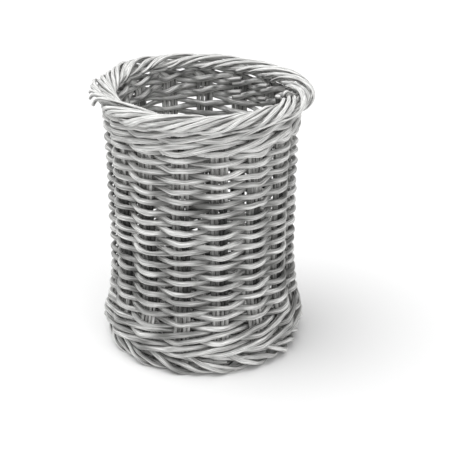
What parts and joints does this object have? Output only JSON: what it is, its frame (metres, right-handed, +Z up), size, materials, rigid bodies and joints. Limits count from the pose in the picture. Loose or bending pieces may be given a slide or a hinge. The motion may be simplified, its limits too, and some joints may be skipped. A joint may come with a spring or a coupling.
{
  "type": "woven cutlery basket",
  "caption": "Small round open-topped basket woven from grey-washed rattan rods, with a waisted wall, rolled rim and rolled foot, for standing cutlery in.",
  "frame": {"origin": "centre of the foot, on the surface the basket stands on", "axes": "+Z up along the axis of the basket, +X to the right and -Y to the front as pictured"},
  "size_m": [0.1297, 0.1297, 0.1591],
  "materials": {
    "stakes": "matt grey-washed rattan",
    "side_stakes": "matt grey-washed rattan, darker",
    "weavers": "matt grey-washed rattan",
    "wale_rods": "matt grey-washed rattan",
    "base_rods": "matt grey-washed rattan"
  },
  "bodies": {
    "root": {"stake_01": "stakes", "side_stake_01": "side_stakes", "stake_02": "stakes", "side_stake_02": "side_stakes", "stake_03": "stakes", "side_stake_03": "side_stakes", "stake_04": "stakes", "side_stake_04": "side_stakes", "stake_05": "stakes", "side_stake_05": "side_stakes", "stake_06": "stakes", "side_stake_06": "side_stakes", "stake_07": "stakes", "side_stake_07": "side_stakes", "stake_08": "stakes", "side_stake_08": "side_stakes", "stake_09": "stakes", "side_stake_09": "side_stakes", "stake_10": "stakes", "side_stake_10": "side_stakes", "stake_11": "stakes", "side_stake_11": "side_stakes", "stake_12": "stakes", "side_stake_12": "side_stakes", "stake_13": "stakes", "side_stake_13": "side_stakes", "stake_14": "stakes", "side_stake_14": "side_stakes", "stake_15": "stakes", "side_stake_15": "side_stakes", "siding_weaver_1": "weavers", "siding_weaver_2": "weavers", "siding_weaver_3": "weavers", "siding_weaver_4": "weavers", "siding_weaver_5": "weavers", "foot_wale_1_rod_1": "wale_rods", "foot_wale_1_rod_2": "wale_rods", "foot_wale_1_rod_3": "wale_rods", "foot_wale_2_rod_1": "wale_rods", "foot_wale_2_rod_2": "wale_rods", "foot_wale_2_rod_3": "wale_rods", "rim_wale_1_rod_1": "wale_rods", "rim_wale_1_rod_2": "wale_rods", "rim_wale_1_rod_3": "wale_rods", "rim_wale_2_rod_1": "wale_rods", "rim_wale_2_rod_2": "wale_rods", "rim_wale_2_rod_3": "wale_rods", "base_upper_stick_1": "base_rods", "base_upper_stick_2": "base_rods", "base_upper_stick_3": "base_rods", "base_upper_stick_4": "base_rods", "base_lower_stick_1": "base_rods", "base_lower_stick_2": "base_rods", "base_lower_stick_3": "base_rods", "base_lower_stick_4": "base_rods", "base_weaver": "base_rods"}
  },
  "joints": []
}
